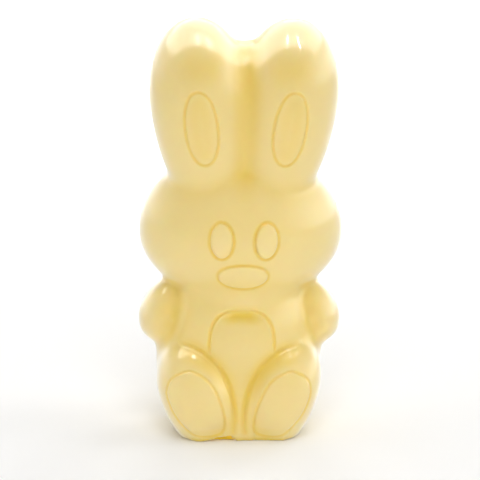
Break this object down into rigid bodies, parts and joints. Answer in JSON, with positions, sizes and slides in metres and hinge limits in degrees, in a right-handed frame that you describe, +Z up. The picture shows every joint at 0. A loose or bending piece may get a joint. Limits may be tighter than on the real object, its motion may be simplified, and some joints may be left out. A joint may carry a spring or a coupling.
{
  "type": "moulded chocolate bunny",
  "caption": "Moulded white chocolate bunny sitting upright on a flat foot, with fat joined ears, round face, stub arms and engraved belly and soles.",
  "frame": {"origin": "on the surface that the figure stands on, under the middle of its outline", "axes": "+Z up along the figure's height, -Y towards its face, +X to the viewer's right"},
  "size_m": [0.0716, 0.0486, 0.1471],
  "materials": {
    "white_chocolate": "smooth semi-gloss white chocolate"
  },
  "bodies": {
    "root": {"chocolate_bunny": "white_chocolate"}
  },
  "joints": []
}
